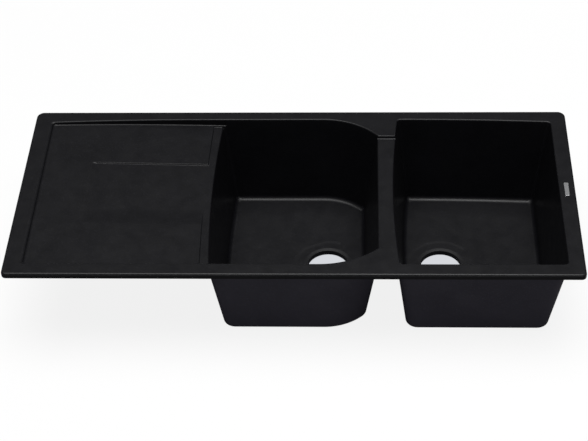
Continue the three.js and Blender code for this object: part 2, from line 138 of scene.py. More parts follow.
def brushedAluminium():
    material, tree, place = newMaterial("brushed_anodised_aluminium")
    stretched = addNode(tree, "Mapping", inputs={
        "Vector": place, "Scale": tuple(perMetre(size) for size in brushed["line"])})
    lines = addNode(tree, "TexNoise", inputs={"Vector": stretched.outputs[0], "Scale": 1.0, "Detail": 3.0})
    dull, bright = brushed["colours"]
    colour = addNode(tree, "Mix", {"data_type": "RGBA"}, {
        0: lines.outputs["Fac"], 6: hexColour(dull), 7: hexColour(bright)})
    low, high = brushed["roughness"]
    roughness = addNode(tree, "MapRange", inputs={
        "Value": lines.outputs["Fac"], "To Min": low, "To Max": high})
    relief = addNode(tree, "Bump", inputs={
        "Strength": 0.3, "Distance": brushed["relief"], "Height": lines.outputs["Fac"]})
    finishMaterial(tree, addNode(tree, "BsdfPrincipled", inputs={
        "Base Color": colour.outputs[2], "Metallic": 1.0, "Roughness": roughness.outputs["Result"],
        "Normal": relief.outputs["Normal"]}))
    return material


# Closed-cell polyethylene foam, skived into a strip: dull charcoal, pitted by its cut cells
foamLook = {"colours": ("#2c2c2e", "#4a4a4c"), "cell": 0.9, "roughness": 0.92, "relief": 0.0003, "ior": 1.5}


def cellFoam():
    material, tree, place = newMaterial("closed_cell_foam")
    cells = addNode(tree, "TexVoronoi", inputs={"Vector": place, "Scale": perMetre(foamLook["cell"])})
    dark, pale = foamLook["colours"]
    colour = addNode(tree, "Mix", {"data_type": "RGBA"}, {
        0: cells.outputs["Distance"], 6: hexColour(dark), 7: hexColour(pale)})
    relief = addNode(tree, "Bump", inputs={
        "Strength": 0.7, "Distance": foamLook["relief"], "Height": cells.outputs["Distance"]})
    finishMaterial(tree, addNode(tree, "BsdfPrincipled", inputs={
        "Base Color": colour.outputs[2], "Roughness": foamLook["roughness"], "IOR": foamLook["ior"],
        "Normal": relief.outputs["Normal"]}))
    return material


# Nylon 6, injection moulded and left natural: creamy, a little see-through at thin edges, softly shining
nylonLook = {"colours": ("#cfcbbf", "#e2dfd6"), "flow": 6, "roughness": (0.34, 0.5), "ior": 1.53,
             "seeThrough": 0.15, "seeDepth": 0.002}


def naturalNylon():
    material, tree, place = newMaterial("moulded_natural_nylon")
    flow = addNode(tree, "TexNoise", inputs={
        "Vector": place, "Scale": perMetre(nylonLook["flow"]), "Detail": 4.0})
    dark, pale = nylonLook["colours"]
    colour = addNode(tree, "Mix", {"data_type": "RGBA"}, {
        0: flow.outputs["Fac"], 6: hexColour(dark), 7: hexColour(pale)})
    low, high = nylonLook["roughness"]
    roughness = addNode(tree, "MapRange", inputs={
        "Value": flow.outputs["Fac"], "To Min": low, "To Max": high})
    finishMaterial(tree, addNode(tree, "BsdfPrincipled", inputs={
        "Base Color": colour.outputs[2], "Roughness": roughness.outputs["Result"], "IOR": nylonLook["ior"],
        "Subsurface Weight": nylonLook["seeThrough"], "Subsurface Scale": nylonLook["seeDepth"]}))
    return material


# Mild steel, pressed or cold headed and then zinc plated: bluish grey, with a frosted, blotchy gloss
zincLook = {"colours": ("#9a9fa6", "#c0c4c6"), "blotch": 5, "roughness": (0.3, 0.46), "relief": 0.00002,
            "spangle": {"screw": 0.8, "strip": 1.4}}


def zincPlate(name, spangle):
    material, tree, place = newMaterial(name)
    crystals = addNode(tree, "TexVoronoi", inputs={"Vector": place, "Scale": perMetre(spangle)})
    pick = addNode(tree, "SeparateColor", inputs={"Color": crystals.outputs["Color"]})
    blotch = addNode(tree, "TexNoise", inputs={
        "Vector": place, "Scale": perMetre(zincLook["blotch"]), "Detail": 5.0})
    dark, pale = zincLook["colours"]
    colour = addNode(tree, "Mix", {"data_type": "RGBA"}, {
        0: blotch.outputs["Fac"], 6: hexColour(dark), 7: hexColour(pale)})
    low, high = zincLook["roughness"]
    roughness = addNode(tree, "MapRange", inputs={
        "Value": pick.outputs["Red"], "To Min": low, "To Max": high})
    relief = addNode(tree, "Bump", inputs={
        "Strength": 0.25, "Distance": zincLook["relief"], "Height": blotch.outputs["Fac"]})
    finishMaterial(tree, addNode(tree, "BsdfPrincipled", inputs={
        "Base Color": colour.outputs[2], "Metallic": 1.0, "Roughness": roughness.outputs["Result"],
        "Normal": relief.outputs["Normal"]}))
    return material


showSide = compositeMaterial("cast_quartz_composite", "show")
castBack = compositeMaterial("cast_quartz_composite_back", "back")
aluminium = brushedAluminium()
foam = cellFoam()
nylon = naturalNylon()
screwSteel = zincPlate("zinc_plated_screw_steel", zincLook["spangle"]["screw"])
armSteel = zincPlate("zinc_plated_strip_steel", zincLook["spangle"]["strip"])
print("materials made")


# Solids. Everything is drawn in millimetres with the deck's top at z = 0, and is raised as it becomes a mesh.

deckHeight = 220  # from the foot of the bowls to the top of the deck


def steps(count):
    return [i / count for i in range(count + 1)]


def blendOf(a, b, t):
    return a + (b - a) * t


def softStep(t):
    return t * t * (3 - 2 * t)


# Material 0 is the show side of the casting, and 1 its back
def toPiece(name, vertices, faces, materialIndex=0):
    mesh = bpy.data.meshes.new(name)
    mesh.from_pydata([Vector((x, y, z + deckHeight)) / 1000 for x, y, z in vertices], [], faces)
    form = bmesh.new()
    form.from_mesh(mesh)
    bmesh.ops.recalc_face_normals(form, faces=form.faces)
    form.to_mesh(mesh)
    form.free()
    piece = bpy.data.objects.new(name, mesh)
    scene.collection.objects.link(piece)
    for material in (showSide, castBack):
        mesh.materials.append(material)
    mesh.polygons.foreach_set("material_index", [materialIndex] * len(mesh.polygons))
    return piece


# A skin over rings of equal point counts, closed by flat ends, or into a loop
def loft(name, rings, materialIndex=0, looped=False):
    count = len(rings[0])
    vertices = [tuple(p) for ring in rings for p in ring]
    faces = []
    for r in range(len(rings) if looped else len(rings) - 1):
        this, following = r * count, (r + 1) % len(rings) * count
        for i in range(count):
            j = (i + 1) % count
            faces.append((this + i, this + j, following + j, following + i))
    if not looped:
        faces.append(tuple(range(count)))
        faces.append(tuple((len(rings) - 1) * count + i for i in range(count)))
    return toPiece(name, vertices, faces, materialIndex)


# A solid of revolution from a profile of (radius, z), whose ends are closed flat unless it is looped
def turned(name, profile, x=0, y=0, segments=64, materialIndex=0, looped=False):
    angles = [2 * math.pi * i / segments for i in range(segments)]
    rings = [[(x + radius * math.cos(a), y + radius * math.sin(a), z) for a in angles]
             for radius, z in profile]
    return loft(name, rings, materialIndex, looped)


def combine(target, tools, operation):
    for tool in tools:
        modifier = target.modifiers.new(operation, "BOOLEAN")
        modifier.operation = operation
        modifier.solver = "MANIFOLD"
        modifier.object = tool
    mesh = bpy.data.meshes.new_from_object(target.evaluated_get(bpy.context.evaluated_depsgraph_get()))
    target.modifiers.clear()
    target.data = mesh
    for tool in tools:
        bpy.data.objects.remove(tool)
    return target


def smoothed(piece, degrees=32, mergeMillimetres=0.01):
    form = bmesh.new()
    form.from_mesh(piece.data)
    bmesh.ops.remove_doubles(form, verts=form.verts, dist=mergeMillimetres / 1000)
    form.to_mesh(piece.data)
    form.free()
    piece.data.shade_smooth()
    piece.data.set_sharp_from_angle(angle=math.radians(degrees))
    modifier = piece.modifiers.new("even_normals", "WEIGHTED_NORMAL")
    modifier.keep_sharp = True
    modifier.mode = "FACE_AREA"
    return piece


# Turns each corner (x, y, radius) of an outline into an arc that touches its two sides
def roundCorners(corners, arcSteps=8):
    outline = []
    for i, (x, y, radius) in enumerate(corners):
        at = Vector((x, y))
        if not radius:
            outline.append(at)
            continue
        before = (Vector(corners[i - 1][:2]) - at).normalized()
        after = (Vector(corners[(i + 1) % len(corners)][:2]) - at).normalized()
        half = before.angle(after) / 2
        centre = at + (before + after).normalized() * radius / math.sin(half)
        start = at + before * radius / math.tan(half) - centre
        for t in steps(arcSteps):
            outline.append(centre + Matrix.Rotation(t * (math.pi - 2 * half), 2) @ start)
    return outline


def raised(outline, z):
    return [(p.x, p.y, z(p.x) if callable(z) else z) for p in outline]


# The one-piece moulding

body = {
    "wall": 6.5,
    "draft": 0.125,  # how far a side wall leans for each millimetre of depth
    "endLean": 0.025,  # how much more the front and back walls lean
    "edgeRound": 3,
    "facingDown": -0.5,  # a face whose normal points lower than this belongs to the back of the casting
    "rim": {"length": 1163, "depth": 505, "thickness": 12.5, "lip": 12, "slab": 9, "backCorner": 16,
            "frontCorner": 10, "topRound": 4.5, "footRound": 0.8,
            "lipRoot": ((2, 0), (0.9, 0.4), (0.4, 1.2))},  # inside the lip, below the slab
    "recess": {"left": -543, "right": 548, "front": -220.5, "back": 225, "straightHalf": 210,
               "bowRadius": 6400},
}
drainer = {
    "cornerRadius": 7, "highDepth": 6.5, "fall": 0.0256, "footRadius": 3, "openEnd": -160.5,
    "endSpread": 2.4,  # how much broader the step down at its left end is than along its sides
    "border": {"left": -192, "bow": 4.5, "depth": 18.5, "inset": 3.7, "footRadius": 2, "top": 11, "flare": 1},
    "panel": {"left": -437, "right": -189, "front": -71.5, "back": 94, "highDepth": 11, "cornerRadius": 5,
              "step": 3, "leftStep": 14, "frontStep": 50,
              "cutShare": -0.55, "cutHeights": (6, 0.1), "skim": 0.02},  # the cut stands outside the step
    "undersideFall": 0.0326, "undersideHigh": 15,
    "ribs": {"places": (-500, -440, -380, -320, -260), "width": 6, "height": 8, "halfLength": 190,
             "inside": 3,  # how far a rib's root reaches up into the skin
             "root": ((2.6, 0.4), (1.2, -0.4), (0.4, -1.2), (0, -2.6)),  # broader by, above the skin
             "crest": ((0.8, 4.5, 0.7), (1.2, 5.2, 0.2), (1.8, 6, 0))},  # narrower by, shorter by, above
}
bowls = {
    "left": {"left": -178.5, "bow": 9, "right": 173, "rightLean": 0.015, "noseStart": 52,
             "backNose": 161, "frontNose": 184, "frontNoseFoot": 155},
    "right": {"left": 203.5, "bow": 11.5},
    "depth": 207, "cornerRadius": 9, "noseCorner": 4, "footRadius": 10.5, "rootRadius": 4,
    "outerFootRadius": 11, "outerCornerRadius": 23, "outerNoseCorner": 24,
    "bowReference": 220,  # a bowed side has moved by its bow at this distance from the middle
    "divider": {"front": -173, "back": 169, "depth": 6.5, "reach": 12},
}
# The outside of the left bowl is thinner on the left and fuller at its nose
bowls["leftShell"] = {**bowls["left"], "left": -177, "rightLean": 0.022, "noseStart": 60,
                      "frontNoseFoot": 145}
waste = {"left": (65.2, -17.5), "right": (309, -17.5), "holeRadius": 45, "footRadius": 44.4,
         "dishRadius": 66, "dishDepth": 208, "dishEdge": 10,
         "lipShare": 0.6,  # of the fall to the dish lies outside its edge
         "mouthRadius": 53, "mouthDepth": 209.15, "mouthRun": 0.3, "skim": 0.01}
fixing = {"tapHoles": ((184, 211), (184, -206)), "tapRadius": 17.5, "tapSkin": 5,
          "tapTop": ((1.1, 0), (0.6, 0.3)),  # narrower by, lower by
          "lugRadius": 6.8, "lugFoot": -22,
          "lugRoot": ((2.5, 0), (1.1, 0.4), (0.5, 1.2), (0.2, 2.5)),  # broader by, below the slab
          "lugTip": ((0.3, 0.8), (0.5, 0.3), (0.9, 0)),  # narrower by, above the foot
          "holeRadius": 4.3, "holeTop": -10, "holeChamfer": 0.6,
          "sealInset": 3, "sealWidth": 5, "sealDepth": 1.8}
railPlate = {"place": (563.6, -1.2), "width": 9.2, "length": 39.8, "thickness": 1, "stand": 0.5,
             "cornerRadius": 1.3, "edgeRound": 0.3, "gap": 0.6}
# Where each clip's screw stands, and the direction in degrees in which its arm is parked
clipPlaces = ((-500, 232, -90), (-320, 232, -90), (165, 232, -90), (562, 110, -90),
              (562, -110, 90), (165, -232, 90), (-320, -232, 90), (-500, -232, 90))
stand = 5  # how far a cutting solid stands out of the surface it cuts
lean = math.atan(body["draft"])


def backEdge(x):
    recess = body["recess"]
    return recess["back"] - max(0, abs(x) - recess["straightHalf"]) ** 2 / (2 * recess["bowRadius"])


def bowedSide(edge, bow, y):
    return edge + bow * (y / bowls["bowReference"]) ** 2


def bowedPoints(edge, bow, fromY, toY, count=14):
    ys = [blendOf(fromY, toY, t) for t in steps(count)[1:-1]]
    return [(bowedSide(edge, bow, y), y, 0) for y in ys]


def rimOutline(inset):
    rim = body["rim"]
    x, y = rim["length"] / 2 - inset, rim["depth"] / 2 - inset
    back, front = max(1, rim["backCorner"] - inset), max(1, rim["frontCorner"] - inset)
    return roundCorners([(-x, -y, front), (x, -y, front), (x, y, back), (-x, y, back)], 10)


def endInset(inset, depth):
    return inset + body["endLean"] * depth


# The left bowl's round nose, from the wall along the divider to the bowl's end. Side is 1 at the back and
# -1 in front.
def noseArc(startX, right, edgeY, side, radius, cornerRadius):
    centreY = edgeY - side * radius
    cornerX = right - cornerRadius
    cornerY = math.sqrt((radius - cornerRadius) ** 2 - (cornerX - startX) ** 2)
    meeting = math.atan2(cornerY, cornerX - startX)
    arc = []
    for t in steps(8)[:-1]:
        a = t * meeting
        y = cornerY + cornerRadius * math.sin(a)
        arc.append((cornerX + cornerRadius * math.cos(a), centreY + side * y, 0))
    for t in steps(24):
        a = blendOf(meeting, math.pi / 2, t)
        arc.append((startX + radius * math.cos(a), centreY + side * radius * math.sin(a), 0))
    return arc


def leftBowlOutline(inset, depth, outside=False):
    shape, atEnds = bowls["leftShell" if outside else "left"], endInset(inset, depth)
    radius = bowls["outerCornerRadius" if outside else "cornerRadius"]
    noseCorner = bowls["outerNoseCorner" if outside else "noseCorner"]
    right = shape["right"] - inset - shape["rightLean"] * depth
    back, front = body["recess"]["back"] - atEnds, body["recess"]["front"] + atEnds
    edge, bow, start = shape["left"] + inset, shape["bow"], shape["noseStart"]
    frontNose = blendOf(shape["frontNose"], shape["frontNoseFoot"], depth / bowls["depth"])
    return roundCorners([
        (bowedSide(edge, bow, front), front, radius),
        *reversed(noseArc(start, right, front, -1, frontNose - atEnds, noseCorner)),
        *noseArc(start, right, back, 1, shape["backNose"] - atEnds, noseCorner),
        (bowedSide(edge, bow, back), back, radius),
        *bowedPoints(edge, bow, back, front),
    ])


def rightBowlOutline(inset, depth, outside=False):
    shape, recess, atEnds = bowls["right"], body["recess"], endInset(inset, depth)
    radius = bowls["outerCornerRadius" if outside else "cornerRadius"]
    right, front = recess["right"] - inset, recess["front"] + atEnds
    edge, bow = shape["left"] + inset, shape["bow"]
    backLeft = bowedSide(edge, bow, backEdge(recess["straightHalf"]) - atEnds)
    backXs = [blendOf(right, backLeft, t) for t in steps(12)]
    backLine = [(x, backEdge(x) - atEnds) for x in backXs]
    return roundCorners([
        (bowedSide(edge, bow, front), front, radius),
        (right, front, radius),
        (*backLine[0], radius),
        *[(x, y, 0) for x, y in backLine[1:-1]],
        (*backLine[-1], radius),
        *bowedPoints(edge, bow, backLine[-1][1], front),
    ])


def drainerOutline(inset, spread=1):
    recess, radius = body["recess"], drainer["cornerRadius"]
    left, openEnd = recess["left"] + inset * spread, drainer["openEnd"]
    backXs = [blendOf(-recess["straightHalf"], left, t) for t in steps(12)[:-1]]
    return roundCorners([
        (left, recess["front"] + inset, radius),
        (openEnd, recess["front"] + inset, 0),
        (openEnd, recess["back"] - inset, 0),
        *[(x, backEdge(x) - inset, 0) for x in backXs],
        (left, backEdge(left) - inset, radius),
    ])


# Wall profiles: (how far the outline is drawn in, how far below the surface or above the floor)
def edgeProfile(radius):
    centre = body["draft"] * radius * (1 - math.sin(lean)) - radius * math.cos(lean)
    angles = [blendOf(math.pi / 2, lean, t) for t in steps(6)]
    return [(centre + radius * math.cos(a), radius * (1 - math.sin(a))) for a in angles]


def footProfile(radius, depth, count=8):
    centre = body["draft"] * (depth - radius * (1 - math.sin(lean))) + radius * math.cos(lean)
    angles = [blendOf(lean, math.pi / 2, t) for t in steps(count)]
    return [(centre - radius * math.cos(a), radius * (1 - math.sin(a))) for a in angles]


# A bowl's hollow: round edge, leaning walls, round foot, and a floor that falls gently to its waste's dish
def bowlHollow(name, outline, place):
    def ring(inset, z):
        return raised(outline(inset, max(0, -z)), z)
    edge, foot = edgeProfile(body["edgeRound"]), footProfile(bowls["footRadius"], bowls["depth"])
    rings = [ring(edge[0][0], stand)]
    rings += [ring(inset, -drop) for inset, drop in edge]
    rings += [ring(inset, rise - bowls["depth"]) for inset, rise in foot]
    centre = Vector(place)
    floorEdge = [Vector(p[:2]) for p in rings[-1]]
    outward = [(p - centre).normalized() for p in floorEdge]
    dishRadius, dishEdge = waste["dishRadius"], waste["dishEdge"]
    lip = [centre + way * (dishRadius + dishEdge) for way in outward]
    lipDepth = blendOf(bowls["depth"], waste["dishDepth"], waste["lipShare"])
    for t in steps(5)[1:]:
        z = -blendOf(bowls["depth"], lipDepth, t)
        rings.append([(*p.lerp(q, t), z) for p, q in zip(floorEdge, lip)])
    for t in steps(6)[1:]:  # the soft step down to the dish
        radius = dishRadius + dishEdge * (1 - t)
        z = -blendOf(lipDepth, waste["dishDepth"], softStep(t))
        rings.append([(*(centre + way * radius), z) for way in outward])
    return loft(name, rings)


def bowlShell(name, outline):
    outward, root, edge = body["wall"] / math.cos(lean), bowls["rootRadius"], body["edgeRound"]

    def ring(inset, z):
        return raised(outline(inset - outward, -z, True), z)
    rings = [ring(-root, -edge)]
    for t in steps(6):
        a = t * math.pi / 2
        drop = body["rim"]["slab"] + root * math.sin(a)
        rings.append(ring(body["draft"] * drop - root * (1 - math.sin(a)), -drop))
    foot = footProfile(bowls["outerFootRadius"], deckHeight)
    rings += [ring(inset, rise - deckHeight) for inset, rise in foot]
    return loft(name, rings, 1)


# The waste's hole. Its mouth dips from the dish in a shallow cone, drawn in steps so that its shading stays
# even, and ends in a crisp edge over an upright wall.
def wasteCut(name, place):
    hole, mouth, foot = waste["holeRadius"], waste["mouthRadius"], waste["footRadius"]
    dish, dip = waste["dishDepth"], waste["mouthDepth"]
    start = mouth + waste["mouthRun"]
    cone = [(blendOf(mouth, hole, t), -blendOf(dish, dip, t)) for t in steps(6)[1:]]
    profile = [(start, stand - dish), (start, waste["skim"] - dish), *cone,
               (foot, -deckHeight), (foot, -deckHeight - stand)]
    return turned(name, profile, *place, segments=96)


def drainerFloor(x):
    return -drainer["highDepth"] - drainer["fall"] * (x - body["recess"]["left"])


def drainerUnderside(x):
    return -drainer["undersideHigh"] - drainer["undersideFall"] * (x - body["recess"]["left"])


def drainerHollow(name):
    edge = edgeProfile(body["edgeRound"])
    foot = footProfile(drainer["footRadius"], drainer["highDepth"])

    def ring(inset, z):
        return raised(drainerOutline(inset, drainer["endSpread"]), z)
    rings = [ring(edge[0][0], stand)] + [ring(inset, -drop) for inset, drop in edge]
    rings += [ring(inset, lambda x, rise=rise: drainerFloor(x) + rise) for inset, rise in foot[1:]]
    return loft(name, rings)


# The lower strip along the bowl, where the drainer's water gathers
def borderHollow(name):
    recess, border, openEnd = body["recess"], drainer["border"], drainer["openEnd"]
    bow, foot = border["bow"], footProfile(border["footRadius"], border["depth"], 5)

    def ring(inset, z):
        atEnds, edge = border["inset"] + inset, border["left"] + inset
        back, front = recess["back"] - atEnds, recess["front"] + atEnds
        return raised(roundCorners([
            (bowedSide(edge, bow, front), front, 0), (openEnd, front, 0), (openEnd, back, 0),
            (bowedSide(edge, bow, back), back, 0), *bowedPoints(edge, bow, back, front, 20)]), z)
    rings = [ring(-border["flare"], -border["top"])]
    rings += [ring(inset - foot[0][0], rise - border["depth"]) for inset, rise in foot]
    return loft(name, rings)


# The shallow panel sunk in the drainer's floor, which runs out level with the border strip. Its edge is a
# soft S-shaped step from one floor to the other.
def panelHollow(name):
    panel = drainer["panel"]
    fall = (drainer["border"]["depth"] - panel["highDepth"]) / (panel["right"] - panel["left"])

    def ring(share, rise, over=0.0):  # share of the step's width, from its middle
        left, back = panel["left"] + share * panel["leftStep"], panel["back"] - share * panel["step"]
        right, front = panel["right"], panel["front"] + share * panel["frontStep"]
        outline = roundCorners([
            (left, front, panel["cornerRadius"]), (right, front, 0), (right, back, 0),
            (left, back, panel["cornerRadius"])])
        return raised(outline, lambda x: over + blendOf(
            -panel["highDepth"] - fall * (x - panel["left"]), drainerFloor(x) + panel["skim"], rise))
    rings = [ring(panel["cutShare"], 1, height) for height in panel["cutHeights"]]
    rings += [ring(t - 0.5, 1 - softStep(t)) for t in steps(8)]
    return loft(name, rings)


def drainerShell(name):
    wall, top = body["wall"], -body["edgeRound"]
    rings = [raised(drainerOutline(-wall), top)]
    for inset, rise in footProfile(drainer["footRadius"] + wall, drainer["undersideHigh"]):
        rings.append(raised(drainerOutline(inset - wall),
                            lambda x, rise=rise: min(top - 1, drainerUnderside(x) + rise)))
    return loft(name, rings, 1)


# A tapered rib across the underside of the drainer, with a round root and a round crest
def rib(name, x):
    shape = drainer["ribs"]
    spread = shape["root"][0][0]

    def ring(wider, longer, lift):
        w, v = shape["width"] / 2 + wider, shape["halfLength"] + longer
        outline = [Vector((x + i * w, j * v)) for i, j in ((-1, -1), (1, -1), (1, 1), (-1, 1))]
        return raised(outline, lambda at: drainerUnderside(at) + lift)
    rings = [ring(spread, spread, shape["inside"])]
    rings += [ring(wider, wider, lift) for wider, lift in shape["root"]]
    rings += [ring(-narrower, -shorter, rise - shape["height"]) for narrower, shorter, rise in shape["crest"]]
    return loft(name, rings, 1)


# The sunk top of the divider between the bowls, with a round edge and a round foot at each end
def dividerHollow(name):
    shape = bowls["divider"]
    edge, foot = edgeProfile(body["edgeRound"]), footProfile(body["edgeRound"], shape["depth"], 6)
    profile = [(edge[0][0], stand)] + [(inset, -drop) for inset, drop in edge]
    profile += [(inset, rise - shape["depth"]) for inset, rise in foot]
    left = bowls["left"]["right"] - shape["reach"]
    right = bowls["right"]["left"] + bowls["right"]["bow"] + shape["reach"]
    rings = [[(left, shape["front"] + inset, z), (right, shape["front"] + inset, z),
              (right, shape["back"] - inset, z), (left, shape["back"] - inset, z)] for inset, z in profile]
    return loft(name, rings)


# What is cut away to round a bowl's edge below the deck. Inward is 1 where the bowl lies to the right.
def loweredEdge(name, sideX, inward, fromY, toY, level):
    radius = body["edgeRound"]
    edge = [(inset, -drop) for inset, drop in edgeProfile(radius)]
    section = [*edge, (radius, edge[-1][1]), (radius, radius), (edge[0][0], radius)]
    ys = [blendOf(fromY, toY, t) for t in steps(20)]
    return loft(name, [[(sideX(y) + inward * u, y, v - level) for u, v in section] for y in ys])


def loweredEdges():
    draft, radius, recess = body["draft"], body["edgeRound"], body["recess"]
    left, right, divider, border = bowls["left"], bowls["right"], bowls["divider"], drainer["border"]
    atEnds = border["inset"] + draft * radius
    front, back = divider["front"] + radius, divider["back"] - radius
    leanRight = draft + left["rightLean"]
    return [
        loweredEdge("edge_by_drainer",
                    lambda y: bowedSide(left["left"] + draft * border["depth"], left["bow"], y), 1,
                    recess["front"] + atEnds, recess["back"] - atEnds, border["depth"]),
        loweredEdge("edge_left_of_divider", lambda y: left["right"] - leanRight * divider["depth"], -1,
                    front, back, divider["depth"]),
        loweredEdge("edge_right_of_divider",
                    lambda y: bowedSide(right["left"] + draft * divider["depth"], right["bow"], y), 1,
                    front, back, divider["depth"]),
    ]


def deck(name):
    rim = body["rim"]
    top, foot, lip, slab = rim["topRound"], rim["footRound"], rim["lip"], rim["slab"]
    rings = []
    for t in steps(8):
        a = t * math.pi / 2
        rings.append(raised(rimOutline(top * (1 - math.sin(a))), -top * (1 - math.cos(a))))
    for t in steps(4):
        a = t * math.pi / 2
        z = foot * (1 - math.sin(a)) - rim["thickness"]
        rings.append(raised(rimOutline(foot * (1 - math.cos(a))), z))
    under = [raised(rimOutline(lip + further), -slab - drop) for further, drop in rim["lipRoot"]]
    under.append(raised(rimOutline(lip), -rim["thickness"] - stand))
    return combine(loft(name, rings), [loft("under_deck", under, 1)], "DIFFERENCE")


def lug(name, x, y):
    radius, slab, foot, root = fixing["lugRadius"], body["rim"]["slab"], fixing["lugFoot"], fixing["lugRoot"]
    profile = [(radius + root[0][0], -body["edgeRound"])]
    profile += [(radius + wider, -slab - drop) for wider, drop in root]
    profile += [(radius - narrower, foot + rise) for narrower, rise in fixing["lugTip"]]
    return turned(name, profile, x, y, 40, 1)


def lugHole(name, x, y):
    radius, foot, chamfer = fixing["holeRadius"], fixing["lugFoot"], fixing["holeChamfer"]
    profile = [(radius, fixing["holeTop"]), (radius, foot + chamfer), (radius + chamfer, foot),
               (radius + chamfer, foot - stand)]
    return turned(name, profile, x, y, 32, 1)


# The blank for a tap hole: a hollow from below that leaves a skin to be knocked through
def tapBlank(name, x, y):
    radius, slab = fixing["tapRadius"], body["rim"]["slab"]
    profile = [(radius - narrower, -fixing["tapSkin"] - drop) for narrower, drop in fixing["tapTop"]]
    return turned(name, [*profile, (radius, -slab), (radius, -slab - stand)], x, y, 64, 1)


def plateOutline(inset, z):
    (x, y), radius = railPlate["place"], railPlate["cornerRadius"] - inset
    w, v = railPlate["width"] / 2 - inset, railPlate["length"] / 2 - inset
    return raised(roundCorners([(x - w, y - v, radius), (x + w, y - v, radius), (x + w, y + v, radius),
                                (x - w, y + v, radius)], 6), z)


def platePocket(name):
    gap = railPlate["gap"]
    foot = railPlate["stand"] - railPlate["thickness"] - gap
    return loft(name, [plateOutline(-gap, stand), plateOutline(-gap, foot)])


def sealGroove(name):
    inset, foot = fixing["sealInset"], -body["rim"]["thickness"]
    innerInset, top = inset + fixing["sealWidth"], foot + fixing["sealDepth"]
    outer = loft(name, [raised(rimOutline(inset), z) for z in (top, foot - 1)])
    inner = loft("inner", [raised(rimOutline(innerInset), z) for z in (top + 1, foot - 2)])
    return combine(outer, [inner], "DIFFERENCE")


def sinkBody():
    parts = [drainerShell("drainer_shell"), bowlShell("left_shell", leftBowlOutline),
             bowlShell("right_shell", rightBowlOutline)]
    parts += [rib("rib", x) for x in drainer["ribs"]["places"]]
    parts += [lug("lug", x, y) for x, y, _ in clipPlaces]
    solid = combine(deck("moulded_sink"), parts, "UNION")
    print("  moulding's outside joined")
    cuts = [drainerHollow("drainer_hollow"), borderHollow("border_hollow"), panelHollow("panel_hollow"),
            bowlHollow("left_hollow", leftBowlOutline, waste["left"]),
            bowlHollow("right_hollow", rightBowlOutline, waste["right"]),
            dividerHollow("divider_hollow"), *loweredEdges(),
            wasteCut("left_waste", waste["left"]), wasteCut("right_waste", waste["right"])]
    cuts += [tapBlank("tap_blank", x, y) for x, y in fixing["tapHoles"]]
    cuts += [lugHole("lug_hole", x, y) for x, y, _ in clipPlaces]
    cuts += [platePocket("plate_pocket"), sealGroove("seal_groove")]
    solid = combine(solid, cuts, "DIFFERENCE")
    for face in solid.data.polygons:
        if face.normal.z < body["facingDown"]:
            face.material_index = 1
    return smoothed(solid)


sink = sinkBody()
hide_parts("sink_body")
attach(sink, "sink")
print("moulding:", len(sink.data.polygons), "faces")


def finishPiece(piece, material, body, slot, *nodes):
    piece.data.materials.clear()
    piece.data.materials.append(material)
    for face in piece.data.polygons:
        face.material_index = 0
    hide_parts(*nodes)
    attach(piece, body)


# The plate let into the right rim, with a soft edge
def makePlate():
    top, foot, edge = railPlate["stand"], railPlate["stand"] - railPlate["thickness"], railPlate["edgeRound"]
    rings = [plateOutline(edge * (1 - math.sin(a)), top - edge * (1 - math.cos(a)))
             for a in (t * math.pi / 2 for t in steps(5))]
    return smoothed(loft("rim_plate_metal", rings + [plateOutline(0, foot)]), 40, 0.001)


finishPiece(makePlate(), aluminium, "sink", "plate_metal", "rim_plate")
print("rim plate made")


# The foam strip in the groove under the rim: soft lower edges, pressed a little proud of the groove, and a
# butt joint in the middle of the back, where its two ends meet
seal = {"outerInset": 3.3, "innerInset": 7.7, "top": -11, "foot": -13.5, "round": 0.9,
        "jointAt": 30, "jointWidth": 0.5, "jointReach": 12}


def makeSeal():
    outer, inner, top, foot = seal["outerInset"], seal["innerInset"], seal["top"], seal["foot"]
    r, arcs = seal["round"], [t * math.pi / 2 for t in steps(4)]
    section = [(outer, top)]
    section += [(outer + r * (1 - math.cos(a)), foot + r * (1 - math.sin(a))) for a in arcs]
    section += [(inner - r * (1 - math.sin(a)), foot + r * (1 - math.cos(a))) for a in arcs]
    section.append((inner, top))
    strip = loft("foam_seal", [raised(rimOutline(inset), z) for inset, z in section], looped=True)
    x, half, back = seal["jointAt"], seal["jointWidth"] / 2, body["rim"]["depth"] / 2
    front = back - seal["jointReach"]
    joint = loft("seal_joint", [[(x - half, front, z), (x + half, front, z), (x + half, back, z),
                                 (x - half, back, z)] for z in (foot - 1, top + 1)])
    return smoothed(combine(strip, [joint], "DIFFERENCE"), 40)


finishPiece(makeSeal(), foam, "sink", "seal_foam", "rim_seal")
print("seal made")


# The clips. Each piece is drawn round its own screw, at x = y = 0, with the arm pointing to +X.

plug = {"radius": 4, "bore": 2.3, "chamfer": 0.3, "top": -10.3, "tipTaper": 0.8,
        "barbs": (-12.3, -15.3, -18.3),
        "barb": ((0.12, 0.35), (0, 0.12), (0.06, 0), (0.55, -0.2)),  # inside the radius, above its place
        "flangeTop": -22.3, "flange": 1, "flangeRadius": 5.6, "flangeRound": 0.25, "neck": 1,
        "slot": 0.9, "slotFoot": -19.6}


